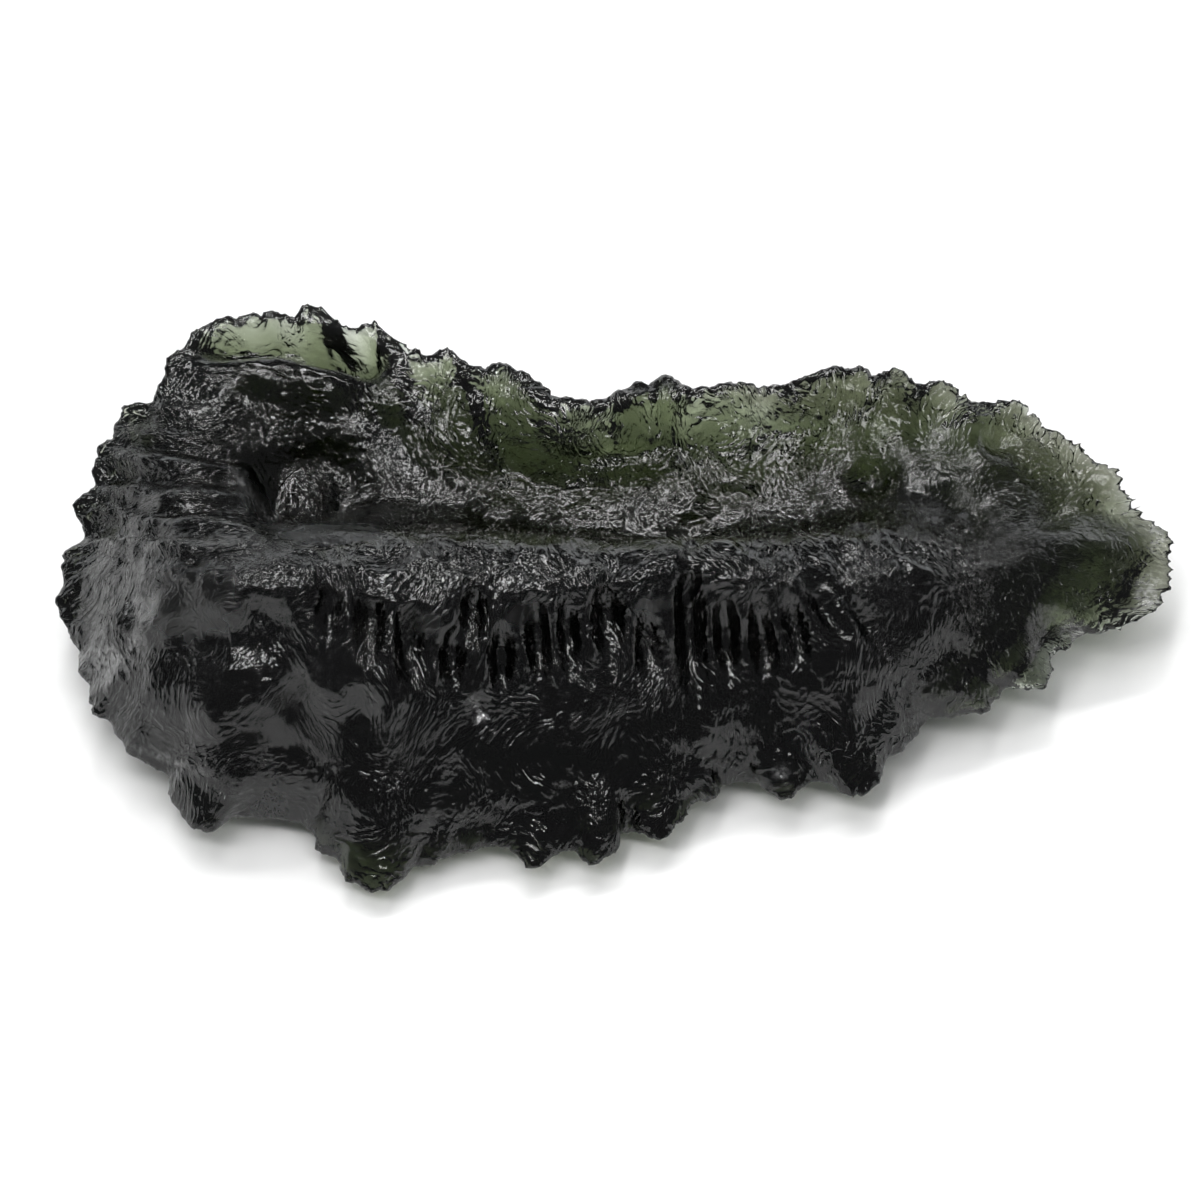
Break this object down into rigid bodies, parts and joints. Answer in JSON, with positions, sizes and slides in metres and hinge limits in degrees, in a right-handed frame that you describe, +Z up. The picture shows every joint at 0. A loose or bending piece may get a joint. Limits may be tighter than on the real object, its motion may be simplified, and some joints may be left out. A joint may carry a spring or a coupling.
{
  "type": "moldavite",
  "caption": "Natural green glass stone with a ragged rim, a fluted ridge and a hollow back, lying on its rounded underside.",
  "frame": {"origin": "the middle of the stone's box, at the level of what it rests on", "axes": "+X along the stone's length towards its thin end, +Y away from the fluted ridge towards the thin back rim, +Z up"},
  "size_m": [0.05, 0.0272, 0.0122],
  "materials": {
    "moldavite_glass": "etched natural glass, bottle green, see-through where it is thin and nearly black where it is thick"
  },
  "bodies": {
    "root": {"stone": "moldavite_glass"}
  },
  "joints": []
}
